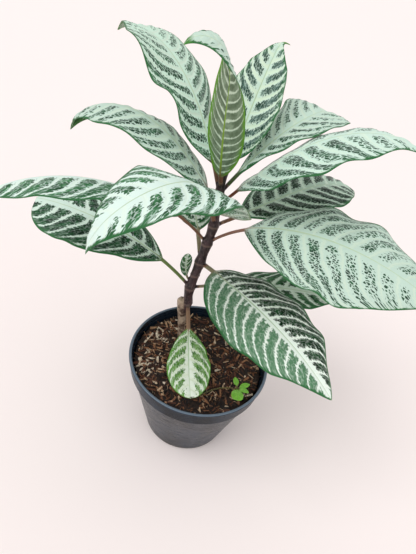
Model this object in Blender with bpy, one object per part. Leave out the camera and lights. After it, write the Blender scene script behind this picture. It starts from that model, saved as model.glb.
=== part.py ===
# Potted zebra plant: a plastic nursery pot of soil, a woody stem with sixteen leaves, and a seedling.
# Metres, +Z up. The origin is the centre of the pot's base. Headings turn from +X (0) to +Y (90).
import math
import random

import bmesh
import bpy
from mathutils import Vector

for old in list(bpy.data.objects):
    bpy.data.objects.remove(old)

# Pot, a thin moulded cup with a collar band and a rolled lip
POT_HEIGHT = 0.112
RIM_RADIUS = 0.075
COLLAR_RADIUS = 0.0728
COLLAR_DEPTH = 0.018
BODY_RADIUS = 0.0700
BASE_RADIUS = 0.048
POT_WALL = 0.0013
LIP_BEAD = 0.0016
POT_FOOT = 0.003
COLLAR_STEP = 0.0012
BEAD_ANGLES = (-50, -10, 30, 70, 110)
POT_SIDES = 36
DRAIN_HOLES = 6
DRAIN_RADIUS = 0.004
DRAIN_RING = 0.036

# Clear gap between pieces that touch, and the angle from which an edge is shaded sharp
GAP = 0.0003
SHARP_ANGLE = math.radians(40)

# Soil, with a rough top and shreds of fibre and bark
SOIL_TOP = 0.1015
SOIL_SHOULDER = 0.004
SOIL_GAP = GAP * 1.3
SOIL_ROUGHNESS = 0.0010
SOIL_MOUND = 0.0025
SOIL_RINGS = 6
SHREDS = 40
SHRED_LENGTH = (0.007, 0.017)
SHRED_WIDTH = (0.0012, 0.0024)
SHRED_SINK = 0.0003
TRUNK_CLEAR = 0.0075
RUNNER_CLEAR = 0.004
SEEDLING_CLEAR = 0.016
SOIL_SEED = 11

# Stem: the middle line of the old trunk and of the shoot that goes on from it, as (x, z, radius)
STEM_Y = 0.025
STEM_FOOT = 0.075
TRUNK = ((-0.0235, STEM_FOOT, 0.0042), (-0.0245, 0.102, 0.0044), (-0.0262, 0.122, 0.0040),
         (-0.0285, 0.141, 0.0046), (-0.0305, 0.157, 0.0052), (-0.0312, 0.163, 0.0040))
SHOOT = ((-0.0290, 0.140, 0.0030), (-0.0262, 0.152, 0.0046), (-0.0250, 0.160, 0.0052),
         (-0.0255, 0.170, 0.0047), (-0.0256, 0.181, 0.0055), (-0.0243, 0.190, 0.0046),
         (-0.0222, 0.205, 0.0046), (-0.0207, 0.216, 0.0054), (-0.0195, 0.226, 0.0045),
         (-0.0179, 0.239, 0.0052), (-0.0166, 0.249, 0.0043), (-0.0156, 0.260, 0.0050),
         (-0.0160, 0.270, 0.0041), (-0.0163, 0.280, 0.0047), (-0.0165, 0.287, 0.0039),
         (-0.0167, 0.295, 0.0042), (-0.0165, 0.303, 0.0032), (-0.0158, 0.313, 0.0028),
         (-0.0150, 0.324, 0.0010))
STEM_SIDES = 8
STEM_GROOVE = 0.10

# Heights of the joints on the stem, from which the leaf pairs grow
LOW_JOINT = 0.160
BUD_JOINT = 0.186
SECOND_JOINT = 0.181
THIRD_JOINT = 0.216
FOURTH_JOINT = 0.239
FIFTH_JOINT = 0.260
SIXTH_JOINT = 0.280
CROWN_JOINT = 0.293
TIP_JOINT = 0.300

# Leaf stalk and blade thickness
STALK_HALF_WIDTH = 0.0021
STALK_RISE = 0.0011
STALK_DEPTH = 0.0015
SHEET_HALF = 0.0004
RIB_HALF_WIDTH = 0.0016
RIB_DEPTH = 0.0013
RIB_SHARE = 0.45
MID_SHARE = 0.62
BLADE_EASE = 0.15
POINT_FROM = 0.72
THIN_FROM = 0.9
TIP_THINNING = 0.4
SPINE_STEPS = 90
STALK_STATIONS = 2
BLADE_STATIONS = 15

# What a leaf has unless its own entry says otherwise. Lengths run along the midrib from the stem's middle.
# seat is the stalk's foot that belongs to the stem, and stout scales the stalk and the rib. pitch bends from
# the stalk over the middle to the tip, turn swings the heading, roll tips the blade from foot to tip, and
# curl and hook bend the last part of it. shape is how slowly the blade widens from its foot and narrows to
# its tip, and point narrows the last part more. left and right are the half blades, as (fold at the blade's
# foot, fold at its tip, droop of the margin), and waves is (count, left height, right height, phase).
LEAF = dict(seat=0.011, stalk=0.022, stout=1.0, turn=0, roll=(0, 0), curl=0, hook=0, curl_from=0.85,
            shape=(0.75, 0.85), point=0.35, left=(10, 5, -20), right=(10, 5, -20),
            waves=(4, 0.0012, 0.0012, 0.0))

LEAVES = {
    "leaf_low_front": dict(
        joint=LOW_JOINT, heading=-75, pitch=(-15, -42, 0), length=0.102, stalk=0.030, width=0.043,
        shape=(0.8, 0.6), point=0.0, left=(6, 4, -10), right=(6, 4, -10),
        waves=(3, 0.0006, 0.0006, 0.2)),
    "leaf_dark_left": dict(
        joint=SECOND_JOINT, heading=180, turn=-16, pitch=(45, 22, -14), length=0.182, stalk=0.042,
        width=0.071, shape=(0.7, 0.4), point=0.0, roll=(-8, -10), left=(0, -12, -20), right=(5, 0, -15),
        waves=(3, 0.0012, 0.0012, 0.1)),
    "leaf_dark_back": dict(
        joint=SECOND_JOINT, heading=-3, pitch=(26, 13, 0), length=0.156, stalk=0.034, width=0.054),
    "leaf_dark_front": dict(
        joint=THIRD_JOINT, heading=-41, pitch=(6, 2, -28), length=0.176, stalk=0.020, width=0.086,
        shape=(0.6, 0.8), point=0.4, left=(4, 8, -20), right=(-4, 6, -22),
        waves=(4, 0.0022, 0.0016, 0.1)),
    "leaf_hidden_left": dict(
        joint=THIRD_JOINT, heading=112, pitch=(45, 20, -8), length=0.102, stalk=0.032, width=0.044),
    "leaf_big_right": dict(
        joint=FOURTH_JOINT, heading=-22, pitch=(55, 2, -20), length=0.216, stalk=0.046, width=0.094,
        shape=(0.75, 0.75), point=0.3, left=(16, 12, -20), right=(-16, -32, -22),
        waves=(4, 0.0028, 0.0022, 0.55)),
    "leaf_far_left": dict(
        joint=FOURTH_JOINT, heading=-160, pitch=(50, 21, -40), length=0.220, stalk=0.044, width=0.066,
        shape=(0.7, 0.7), left=(8, 4, -12), right=(-45, -40, -15), waves=(4, 0.0016, 0.0010, 0.3)),
    "leaf_front_left": dict(
        joint=FIFTH_JOINT, heading=-104, turn=-56, pitch=(61, 53, -84), length=0.202, stalk=0.026,
        width=0.080, shape=(0.25, 0.75), left=(8, 0, -20), right=(-10, 9, -15),
        waves=(3, 0.0030, 0.0014, 0.0)),
    "leaf_shaded_right": dict(
        joint=FIFTH_JOINT, heading=38, pitch=(10, 34, -30), length=0.176, stalk=0.028, width=0.072,
        shape=(0.75, 0.65), waves=(4, 0.0018, 0.0014, 0.4)),
    "leaf_back_left": dict(
        joint=SIXTH_JOINT, heading=172, pitch=(50, 56, -78), length=0.180, stalk=0.018, width=0.060,
        left=(0, -6, -22), right=(10, -38, -22), waves=(3, 0.0016, 0.0016, 0.4)),
    "leaf_tip_right": dict(
        joint=SIXTH_JOINT, heading=2, pitch=(54, 62, -34), length=0.190, stalk=0.024, width=0.076,
        shape=(0.85, 1.1), left=(-18, -5, -15), right=(4, -4, -22), waves=(4, 0.0014, 0.0022, 0.2)),
    "leaf_upper_right": dict(
        joint=CROWN_JOINT, heading=38, turn=8, pitch=(49, 50, -2), length=0.131, stalk=0.022, width=0.060,
        curl=-60, curl_from=0.85, shape=(1.1, 0.26), point=0.0, left=(0, 4, -18), right=(18, 7, -12),
        waves=(4, 0.0014, 0.0014, 0.6)),
    "leaf_top_left": dict(
        joint=CROWN_JOINT, heading=143, pitch=(62, 56, -28), length=0.194, stalk=0.026, width=0.068,
        hook=30, curl=-15, shape=(0.75, 0.75), point=0.5, left=(-6, 24, -10), right=(-28, 4, -6),
        waves=(3, 0.0032, 0.0016, 0.15)),
    "leaf_top_back": dict(
        joint=TIP_JOINT, heading=74, pitch=(56, 66, 32), length=0.138, stalk=0.024, width=0.046,
        shape=(0.65, 0.95), point=0.6, curl=-60, hook=-100, curl_from=0.86, left=(24, 12, -10),
        right=(14, 10, -10), waves=(3, 0.0012, 0.0012, 0.5)),
    "leaf_top_centre": dict(
        joint=TIP_JOINT, heading=-100, turn=-80, pitch=(50, 99, 84), length=0.153, stalk=0.018,
        width=0.038, shape=(0.7, 0.8), point=0.0, curl=-150, curl_from=0.55, left=(12, -30, -5),
        right=(24, 10, -5), waves=(3, 0.0008, 0.0008, 0.3)),
    "leaf_bud": dict(
        joint=BUD_JOINT, heading=-170, pitch=(48, 86, 96), length=0.040, seat=0.009, stalk=0.012,
        stout=0.55, width=0.014, shape=(0.7, 0.6), point=0.0, roll=(-20, -70), left=(10, 5, 0),
        right=(10, 5, 0), waves=(1, 0.0, 0.0, 0.0)),
}

# Seedling: a runner over the soil, and a round leaf and three pointed leaflets, as (heading, length, width,
# shape)
SEEDLING_ROOT = (0.0450, -0.0300)
RUNNER_ROOT = (0.0090, -0.0470)
RUNNER_HEIGHT = 0.1075
RUNNER_RADIUS = 0.0006
RUNNER_RISE = 0.001
RUNNER_BOW = 0.004
RUNNER_STEPS = 6
ROOT_RADIUS = 0.0009
ROOT_TOP = 0.1095
ROOT_DEPTH = 0.008
SEEDLING_STATIONS = 6
SEEDLING_LEAVES = ((-88, 0.0190, 0.0125, (0.6, 0.4)), (25, 0.0150, 0.0060, (0.6, 0.8)),
                   (112, 0.0130, 0.0060, (0.6, 0.8)), (-28, 0.0150, 0.0062, (0.6, 0.8)))


def finish(name, colour, roughness, mesh):
    """One named object with its own material."""
    material = bpy.data.materials.new(name + "_finish")
    material.use_nodes = True
    shader = material.node_tree.nodes["Principled BSDF"]
    shader.inputs["Base Color"].default_value = (*colour, 1)
    shader.inputs["Roughness"].default_value = roughness
    shader.inputs["Metallic"].default_value = 0.0
    mesh.materials.append(material)
    mesh.shade_smooth()
    mesh.set_sharp_from_angle(angle=SHARP_ANGLE)
    made = bpy.data.objects.new(name, mesh)
    bpy.context.scene.collection.objects.link(made)
    return made


def mesh_from(name, points, faces):
    """A closed mesh with its faces pointing out."""
    shape = bmesh.new()
    corners = [shape.verts.new(point) for point in points]
    for face in faces:
        shape.faces.new([corners[i] for i in face])
    bmesh.ops.recalc_face_normals(shape, faces=shape.faces)
    mesh = bpy.data.meshes.new(name)
    shape.to_mesh(mesh)
    shape.free()
    return mesh


def loft(name, rings):
    """A closed skin over rings of equally many points, with flat ends."""
    count = len(rings[0])
    points = [point for ring in rings for point in ring]
    faces = [tuple(reversed(range(count)))]
    for row in range(len(rings) - 1):
        for k in range(count):
            a = row * count + k
            b = row * count + (k + 1) % count
            faces.append((a, b, b + count, a + count))
    last = (len(rings) - 1) * count
    faces.append(tuple(range(last, last + count)))
    return mesh_from(name, points, faces)


def use_boolean(target, operation, others):
    """Joins others to target, or cuts them out of it, applies that and removes them."""
    group = bpy.data.collections.new("others")
    for other in others:
        group.objects.link(other)
    step = target.modifiers.new("boolean", "BOOLEAN")
    step.operation = operation
    step.operand_type = "COLLECTION"
    step.collection = group
    step.solver = "EXACT"
    bpy.context.view_layer.update()
    result = bpy.data.meshes.new_from_object(target.evaluated_get(bpy.context.evaluated_depsgraph_get()))
    target.modifiers.clear()
    target.data = result
    for other in others:
        bpy.data.objects.remove(other)
    bpy.data.collections.remove(group)


def loose(name, mesh):
    """An object that a Boolean uses up."""
    made = bpy.data.objects.new(name, mesh)
    bpy.context.scene.collection.objects.link(made)
    return made


def circle(centre, radius, sides, along=Vector((0, 0, 1)), grooves=0.0):
    """Points round an axis."""
    across = Vector((0, 1, 0)).cross(along).normalized()
    other = along.cross(across)
    ring = []
    for k in range(sides):
        turn = 2 * math.pi * k / sides
        reach = radius * (1 + grooves * (k % 2 - 0.5))
        ring.append(centre + across * (reach * math.cos(turn)) + other * (reach * math.sin(turn)))
    return ring


def tube(name, line, sides, grooves=0.0):
    """A closed round tube along (point, radius) pairs."""
    rings = []
    for i, (point, radius) in enumerate(line):
        before = line[max(i - 1, 0)][0]
        after = line[min(i + 1, len(line) - 1)][0]
        rings.append(circle(point, radius, sides, (after - before).normalized(), grooves))
    return loft(name, rings)


def turned(name, profile, sides):
    """A solid turned about +Z from (radius, height) points, open to nothing: both ends are on the axis."""
    rings = [[Vector((r * math.cos(2 * math.pi * k / sides), r * math.sin(2 * math.pi * k / sides), z))
              for k in range(sides)] for r, z in profile[1:-1]]
    points = [point for ring in rings for point in ring]
    faces = []
    for row in range(len(rings) - 1):
        for k in range(sides):
            a = row * sides + k
            b = row * sides + (k + 1) % sides
            faces.append((a, b, b + sides, a + sides))
    for row, (r, z) in ((0, profile[0]), (len(rings) - 1, profile[-1])):
        points.append(Vector((0, 0, z)))
        faces += [(row * sides + k, row * sides + (k + 1) % sides, len(points) - 1) for k in range(sides)]
    return mesh_from(name, points, faces)


def inner_radius(height):
    """The inside of the pot's wall at a height."""
    shoulder = POT_HEIGHT - COLLAR_DEPTH
    if height >= shoulder:
        return BODY_RADIUS - POT_WALL
    share = max(0.0, height - POT_FOOT) / (shoulder - POT_FOOT)
    return BASE_RADIUS + (BODY_RADIUS - BASE_RADIUS) * share - POT_WALL


def floor_radius():
    """The flat part of the pot's floor, inside."""
    return inner_radius(POT_FOOT) - POT_WALL


def make_pot():
    shoulder = POT_HEIGHT - COLLAR_DEPTH
    lip = POT_HEIGHT - LIP_BEAD
    outside = [(0, 0), (BASE_RADIUS - POT_FOOT, 0), (BASE_RADIUS, POT_FOOT),
               (BODY_RADIUS, shoulder - COLLAR_STEP), (COLLAR_RADIUS - COLLAR_STEP / 2, shoulder),
               (COLLAR_RADIUS, lip - LIP_BEAD)]
    bead = [(RIM_RADIUS - LIP_BEAD + LIP_BEAD * math.cos(a), lip + LIP_BEAD * math.sin(a))
            for a in map(math.radians, BEAD_ANGLES)]
    inside = [(COLLAR_RADIUS - POT_WALL, lip - LIP_BEAD), (BODY_RADIUS - POT_WALL, shoulder),
              (inner_radius(POT_FOOT), POT_FOOT), (floor_radius(), POT_WALL), (0, POT_WALL)]
    pot = finish("pot", (0.02, 0.025, 0.032), 0.45, turned("pot", outside + bead + inside, POT_SIDES))
    drills = []
    for k in range(DRAIN_HOLES):
        turn = 2 * math.pi * k / DRAIN_HOLES
        centre = Vector((DRAIN_RING * math.cos(turn), DRAIN_RING * math.sin(turn), 0))
        line = [(centre + Vector((0, 0, z)), DRAIN_RADIUS) for z in (-POT_FOOT, POT_FOOT)]
        drills.append(loose("drill", tube("drill", line, 12)))
    use_boolean(pot, "DIFFERENCE", drills)
    return pot


def stem_point(height):
    """The shoot's middle at a height."""
    for (x0, z0, _), (x1, z1, _) in zip(SHOOT, SHOOT[1:]):
        if height <= z1:
            return Vector((x0 + (x1 - x0) * (height - z0) / (z1 - z0), STEM_Y, height))
    return Vector((SHOOT[-1][0], STEM_Y, height))


def leaf_spine(leaf):
    """The midrib at even steps as (point, left, up): left lies across the blade and up stands out of it."""
    point = stem_point(leaf["joint"])
    stride = leaf["length"] / SPINE_STEPS
    spine = []
    for i in range(SPINE_STEPS + 1):
        s = i / SPINE_STEPS
        bend = max(0.0, (s - leaf["curl_from"]) / (1 - leaf["curl_from"])) ** 2
        first, middle, last = leaf["pitch"]
        pitch = (1 - s) ** 2 * first + 2 * s * (1 - s) * middle + s * s * last + bend * leaf["curl"]
        heading = leaf["heading"] + s * s * leaf["turn"] + bend * leaf["hook"]
        roll = leaf["roll"][0] + (leaf["roll"][1] - leaf["roll"][0]) * s
        pitch, heading, roll = math.radians(pitch), math.radians(heading), math.radians(roll)
        level = Vector((-math.sin(heading), math.cos(heading), 0))
        ahead = Vector((level.y, -level.x, 0)) * math.cos(pitch) + Vector((0, 0, math.sin(pitch)))
        over = ahead.cross(level)
        left = level * math.cos(roll) + over * math.sin(roll)
        up = over * math.cos(roll) - level * math.sin(roll)
        spine.append((point.copy(), left, up))
        point += ahead * stride
    return spine


def on_spine(spine, s):
    """The spine between its steps."""
    place = min(max(s, 0.0), 1.0) * SPINE_STEPS
    i = min(int(place), SPINE_STEPS - 1)
    return [a.lerp(b, place - i) for a, b in zip(spine[i], spine[i + 1])]


def blade_share(leaf, s):
    """How far s is along the blade, 0 at its foot and 1 at its tip."""
    stalk = leaf["stalk"] / leaf["length"]
    return min(max((s - stalk) / (1 - stalk), 0.0), 1.0)


def half_width(leaf, b):
    """Half the blade's width."""
    foot, tip = leaf["shape"]
    fullest = foot / (foot + tip)
    blade = leaf["width"] / 2 * (b / fullest) ** foot * ((1 - b) / (1 - fullest)) ** tip
    blade *= 1 - leaf["point"] * max(0.0, (b - POINT_FROM) / (1 - POINT_FROM))
    return math.hypot(blade, STALK_HALF_WIDTH * leaf["stout"] * (1 - b))


def leaf_section(leaf, spine, s):
    """The top and bottom points across the leaf, from its left margin to its right one."""
    b = blade_share(leaf, s)
    half = half_width(leaf, b)
    ease = min(b / BLADE_EASE, 1.0)
    spread = ease * ease * (3 - 2 * ease)
    middle, left, up = on_spine(spine, s)
    stout = leaf["stout"]
    rib = min(RIB_HALF_WIDTH * stout * (1 - b / 2), RIB_SHARE * half)
    count, wave_left, wave_right, phase = leaf["waves"]
    top, bottom = [], []
    for side, wave in (("left", wave_left), ("right", wave_right)):
        sign = 1 if side == "left" else -1
        foot, tip, droop = (math.radians(angle) for angle in leaf[side])
        ripple = wave * math.sin(2 * math.pi * (count * b + phase + 0.25 * sign)) * math.sin(math.pi * b)
        rows = []
        for share, bulk in ((0.0, 1.0), (rib / half, 0.9), (MID_SHARE, 0.62), (1.0, 0.0)):
            rise = max(STALK_RISE * stout * bulk, SHEET_HALF)
            depth = max(STALK_DEPTH * stout * bulk, SHEET_HALF)
            fold = (foot + (tip - foot) * b) * spread
            middle_angle = fold + droop * spread * share / 2
            angle = fold + droop * spread * share
            reach = share * half
            out = left * (sign * math.cos(middle_angle)) + up * math.sin(middle_angle)
            normal = up * math.cos(angle) - left * (sign * math.sin(angle))
            point = middle + out * reach + up * (ripple * share ** 1.5)
            ridge = RIB_DEPTH * stout * (1 - 0.7 * b) if share == 0.0 else 0.0
            above = rise + (SHEET_HALF - rise) * spread
            below = depth + (SHEET_HALF + ridge - depth) * spread
            thin = 1 - TIP_THINNING * max(0.0, (b - THIN_FROM) / (1 - THIN_FROM))
            rows.append((point + normal * above * thin, point - normal * below * thin))
        if side == "left":
            top += [row[0] for row in reversed(rows)]
            bottom += [row[1] for row in reversed(rows)]
        else:
            top += [row[0] for row in rows[1:]]
            bottom += [row[1] for row in rows[1:]]
    return top, bottom


def leaf_mesh(name, leaf, spine, stations, pointed):
    """A leaf, or a piece of its stalk, as one closed skin split into triangles alike above and below."""
    sections = [leaf_section(leaf, spine, s) for s in stations]
    across = len(sections[0][0])
    points = [point for top, bottom in sections for point in top + bottom]
    faces = []
    for row in range(len(sections) - 1):
        a = row * 2 * across
        b = a + 2 * across
        for k in range(across - 1):
            faces += [(a + k, a + k + 1, b + k + 1), (a + k, b + k + 1, b + k)]
            faces += [(a + across + k, b + across + k + 1, a + across + k + 1),
                      (a + across + k, b + across + k, b + across + k + 1)]
        for k in (0, across - 1):
            faces += [(a + k, a + across + k, b + across + k), (a + k, b + across + k, b + k)]
    ends = [0]
    if not pointed:
        ends.append(len(sections) - 1)
    for row in ends:
        a = row * 2 * across
        for k in range(across - 1):
            faces.append((a + k, a + k + 1, a + across + k + 1, a + across + k))
    if pointed:
        points.append(on_spine(spine, 1.0)[0])
        a = (len(sections) - 1) * 2 * across
        rim = list(range(a, a + across)) + list(reversed(range(a + across, a + 2 * across)))
        faces += [(rim[k], rim[(k + 1) % len(rim)], len(points) - 1) for k in range(len(rim))]
    return mesh_from(name, points, faces)


def leaf_stations(leaf):
    """Where the leaf's sections lie: from its seat on the stub, over the stalk, to just short of the tip."""
    start = (leaf["seat"] + GAP) / leaf["length"]
    foot = leaf["stalk"] / leaf["length"]
    blade = max(8, round(BLADE_STATIONS * min(leaf["length"] / 0.16, 1.2)))
    stalk = [start + (foot - start) * i / STALK_STATIONS for i in range(STALK_STATIONS)]
    return stalk + [foot + (1 - foot) * i / blade for i in range(blade)]


def make_leaf(name, values):
    leaf = {**LEAF, **values}
    spine = leaf_spine(leaf)
    colour = (0.16, 0.32, 0.17)
    return finish(name, colour, 0.4, leaf_mesh(name, leaf, spine, leaf_stations(leaf), True))


def make_stub(values):
    """The foot of a leaf's stalk, which is part of the stem."""
    leaf = {**LEAF, **values}
    seat = leaf["seat"] / leaf["length"]
    return loose("stub", leaf_mesh("stub", leaf, leaf_spine(leaf), [0.0, seat / 2, seat], False))


def stem_line(table):
    return [(Vector((x, STEM_Y, z)), radius) for x, z, radius in table]


def make_stem():
    stem = finish("stem", (0.10, 0.05, 0.05), 0.5, tube("stem", stem_line(SHOOT), STEM_SIDES, STEM_GROOVE))
    trunk = loose("trunk", tube("trunk", stem_line(TRUNK), STEM_SIDES, STEM_GROOVE * 2))
    stubs = [make_stub(values) for values in LEAVES.values()]
    use_boolean(stem, "UNION", [trunk] + stubs)
    return stem


def soil_level(radius):
    """The soil's height, low at the wall and mounded in the middle."""
    return SOIL_TOP + SOIL_MOUND * math.cos(math.pi / 2 * radius / inner_radius(SOIL_TOP))


def shred(rng, reach):
    """One three-sided sliver of fibre or bark, sunk by half, or nothing where it would lie over a hole."""
    out, round_pot = math.sqrt(rng.uniform(0.02, 1.0)) * reach, rng.uniform(0, 2 * math.pi)
    place = Vector((out * math.cos(round_pot), out * math.sin(round_pot), soil_level(out) - SHRED_SINK))
    turn, lean = rng.uniform(0, math.pi), math.radians(rng.uniform(-14, 14))
    half, thick = rng.uniform(*SHRED_LENGTH) / 2, rng.uniform(*SHRED_WIDTH) / 2
    along = Vector((math.cos(turn) * math.cos(lean), math.sin(turn) * math.cos(lean), math.sin(lean)))
    trunk = Vector((TRUNK[1][0], STEM_Y))
    for step in range(-4, 5):
        spot = (place + along * (half * step / 4)).xy
        if (spot - trunk).length < TRUNK_CLEAR or (spot - Vector(RUNNER_ROOT)).length < RUNNER_CLEAR:
            return None
        if (spot - Vector(SEEDLING_ROOT)).length < SEEDLING_CLEAR:
            return None
    rings = [circle(place + along * (half * end), thick * size, 3, along)
             for end, size in ((-1, 0.5), (0.1, 1.0), (1, 0.4))]
    return loose("shred", loft("shred", rings))


def make_soil():
    rng = random.Random(SOIL_SEED)
    rings = []
    for height in (SOIL_TOP - SOIL_SHOULDER, POT_HEIGHT - COLLAR_DEPTH, POT_FOOT):
        rings.append(circle(Vector((0, 0, height)), inner_radius(height) - SOIL_GAP, POT_SIDES))
    rings.append(circle(Vector((0, 0, POT_WALL + GAP)), floor_radius() - SOIL_GAP, POT_SIDES))
    edge = inner_radius(SOIL_TOP) - SOIL_GAP
    top = []
    for i in range(SOIL_RINGS):
        radius = edge * (1 - i / SOIL_RINGS)
        ring = circle(Vector((0, 0, 0)), radius, POT_SIDES)
        for point in ring:
            point.z = soil_level(radius) + rng.uniform(-SOIL_ROUGHNESS, SOIL_ROUGHNESS)
        top.insert(0, ring)
    soil = finish("soil", (0.09, 0.05, 0.03), 0.95, loft("soil", top + rings))
    shreds = []
    while len(shreds) < SHREDS:
        made = shred(rng, edge - SHRED_LENGTH[1] / 2 - SHRED_WIDTH[1])
        if made:
            shreds.append(made)
    use_boolean(soil, "UNION", shreds)
    post = [(point, radius * (1 + STEM_GROOVE) + GAP * 2) for point, radius in stem_line(TRUNK)]
    post[0][0].z -= GAP * 2
    holes = [tube("hole", post, STEM_SIDES)]
    for x, y in (SEEDLING_ROOT, RUNNER_ROOT):
        line = [(Vector((x, y, z)), ROOT_RADIUS + GAP * 2) for z in (SOIL_TOP - ROOT_DEPTH - GAP, ROOT_TOP)]
        holes.append(tube("hole", line, 6))
    use_boolean(soil, "DIFFERENCE", [loose("hole", hole) for hole in holes])
    return soil


def make_seedling():
    """Its root, runner and leaves, grown together."""
    root = [(Vector((*SEEDLING_ROOT, z)), ROOT_RADIUS) for z in (SOIL_TOP - ROOT_DEPTH, ROOT_TOP)]
    seedling = finish("seedling", (0.20, 0.55, 0.05), 0.4, tube("seedling", root, 6))
    start, stop = Vector((*RUNNER_ROOT, 0)), Vector((*SEEDLING_ROOT, 0))
    line = [(Vector((*RUNNER_ROOT, z)), RUNNER_RADIUS) for z in (SOIL_TOP - ROOT_DEPTH, SOIL_TOP)]
    for i in range(RUNNER_STEPS + 1):
        bow = math.sin(math.pi * i / RUNNER_STEPS)
        point = start.lerp(stop, i / RUNNER_STEPS)
        point.z = RUNNER_HEIGHT + RUNNER_RISE * bow
        point.y += RUNNER_BOW * bow
        line.append((point, RUNNER_RADIUS))
    parts = [loose("runner", tube("runner", line, 6))]
    for k, (heading, length, width, shape) in enumerate(SEEDLING_LEAVES):
        values = dict(joint=0.0, heading=heading, pitch=(50, 5 + 8 * k, -5), length=length, width=width,
                      stalk=0.004, stout=0.35, shape=shape, point=0.0, waves=(1, 0.0, 0.0, 0.0))
        leaf = {**LEAF, **values}
        spine = leaf_spine(leaf)
        shift = Vector((*SEEDLING_ROOT, RUNNER_HEIGHT)) - spine[0][0]
        spine = [(point + shift, left, up) for point, left, up in spine]
        stations = [i / SEEDLING_STATIONS for i in range(SEEDLING_STATIONS)]
        parts.append(loose("leaflet", leaf_mesh("leaflet", leaf, spine, stations, True)))
    use_boolean(seedling, "UNION", parts)
    return seedling


make_pot()
make_soil()
make_stem()
for leaf_name, leaf_values in LEAVES.items():
    make_leaf(leaf_name, leaf_values)
make_seedling()
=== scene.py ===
import math

import bmesh
import bpy
from mathutils import Matrix, Vector, noise


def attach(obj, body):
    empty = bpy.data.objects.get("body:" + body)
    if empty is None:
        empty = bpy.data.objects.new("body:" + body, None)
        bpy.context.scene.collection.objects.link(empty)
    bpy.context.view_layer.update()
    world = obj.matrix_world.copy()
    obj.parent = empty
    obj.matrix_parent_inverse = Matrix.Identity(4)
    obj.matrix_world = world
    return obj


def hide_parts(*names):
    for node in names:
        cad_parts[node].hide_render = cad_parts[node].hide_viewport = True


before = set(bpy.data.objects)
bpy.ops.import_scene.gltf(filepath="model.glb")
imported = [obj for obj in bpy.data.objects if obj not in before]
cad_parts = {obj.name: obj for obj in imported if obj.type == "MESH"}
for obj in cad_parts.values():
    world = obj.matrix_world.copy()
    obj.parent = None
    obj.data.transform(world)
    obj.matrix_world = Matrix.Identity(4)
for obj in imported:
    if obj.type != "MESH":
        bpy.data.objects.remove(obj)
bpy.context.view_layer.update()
print("solids loaded")


# Node wiring on the tree at hand: sockets are linked, values go in, colours as they look on a screen
desk = {}


def screen(colour):  # a colour as it looks on a screen, 0 to 255, made linear
    return tuple((c / 255 / 12.92 if c < 11 else ((c / 255 + 0.055) / 1.055) ** 2.4)
                 for c in colour) + (1.0,)


def feed(socket, value):
    if isinstance(value, bpy.types.NodeSocket):
        desk["tree"].links.new(value, socket)
    else:
        socket.default_value = screen(value) if socket.type == "RGBA" else value


def addNode(kind, inputs=None, **settings):
    node = desk["tree"].nodes.new(kind)
    for name, value in settings.items():
        setattr(node, name, value)
    for name, value in (inputs or {}).items():
        feed(node.inputs[name], value)
    return node


def calc(operation, *values):
    return addNode("ShaderNodeMath", dict(enumerate(values)), operation=operation).outputs[0]


def chained(operation, first, *others):
    for value in others:
        first = calc(operation, first, value)
    return first


def plus(*values):
    return chained("ADD", *values)


def minus(*values):
    return chained("SUBTRACT", *values)


def times(*values):
    return chained("MULTIPLY", *values)


def step(value, low, high):  # a soft step from 0 at low to 1 at high
    inputs = {"Value": value, "From Min": low, "From Max": high}
    return addNode("ShaderNodeMapRange", inputs, interpolation_type="SMOOTHSTEP").outputs[0]


def blend(share, first, second):  # numbers
    return addNode("ShaderNodeMix", {0: share, 2: first, 3: second}).outputs[0]


def tint(share, first, second):  # colours
    return addNode("ShaderNodeMix", {0: share, 6: first, 7: second}, data_type="RGBA").outputs[2]


def vectorCalc(operation, inputs, output=0):  # with vectors
    return addNode("ShaderNodeVectorMath", inputs, operation=operation).outputs[output]


def place(x, y, z=0.0):
    return addNode("ShaderNodeCombineXYZ", {0: x, 1: y, 2: z}).outputs[0]


def split(vector):
    return addNode("ShaderNodeSeparateXYZ", {0: vector}).outputs[:3]


def cloud(where, scale, detail=2.0, rough=0.5):
    inputs = {"Vector": where, "Scale": scale, "Detail": detail, "Roughness": rough}
    return addNode("ShaderNodeTexNoise", inputs).outputs[0]


def readOut(name, output="Vector"):
    return addNode("ShaderNodeAttribute", attribute_name=name).outputs[output]


def objectSpot():
    return addNode("ShaderNodeTexCoord").outputs["Object"]


def drawnOut(spot, rise):  # the same places, with their heights multiplied
    return addNode("ShaderNodeMapping", {"Vector": spot, "Scale": (1.0, 1.0, rise)}).outputs[0]


def newGroup(name, treeKind, inputs, outputs):  # each label has its first value, or the kind of its socket
    tree = desk["tree"] = bpy.data.node_groups.new(name, treeKind)
    kinds = {tuple: "Color", float: "Float", int: "Int"}
    for way, labels in (("INPUT", inputs), ("OUTPUT", outputs)):
        for label, value in labels.items():
            kind = kinds.get(type(value), value)
            socket = tree.interface.new_socket(label, in_out=way, socket_type="NodeSocket" + kind)
            if kind != value:
                socket.default_value = screen(value) if kind == "Color" else value
    return tree, addNode("NodeGroupInput").outputs, addNode("NodeGroupOutput").inputs


def newMaterial(name):
    material = bpy.data.materials.new(name)
    material.use_nodes = True
    desk["tree"] = material.node_tree
    return material, material.node_tree.nodes["Principled BSDF"]


def coat(shader, colour, roughness, height, bump, gloss=0.5):  # bump is its strength and depth
    feed(shader.inputs["Base Color"], colour)
    feed(shader.inputs["Roughness"], roughness)
    inputs = {"Height": height, "Strength": bump[0], "Distance": bump[1]}
    feed(shader.inputs["Normal"], addNode("ShaderNodeBump", inputs).outputs[0])
    shader.inputs["Specular IOR Level"].default_value = gloss


def addObject(name, data, materials=()):
    piece = bpy.data.objects.new(name, data)
    bpy.context.scene.collection.objects.link(piece)
    for material in materials:
        data.materials.append(material)
    return piece


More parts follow.
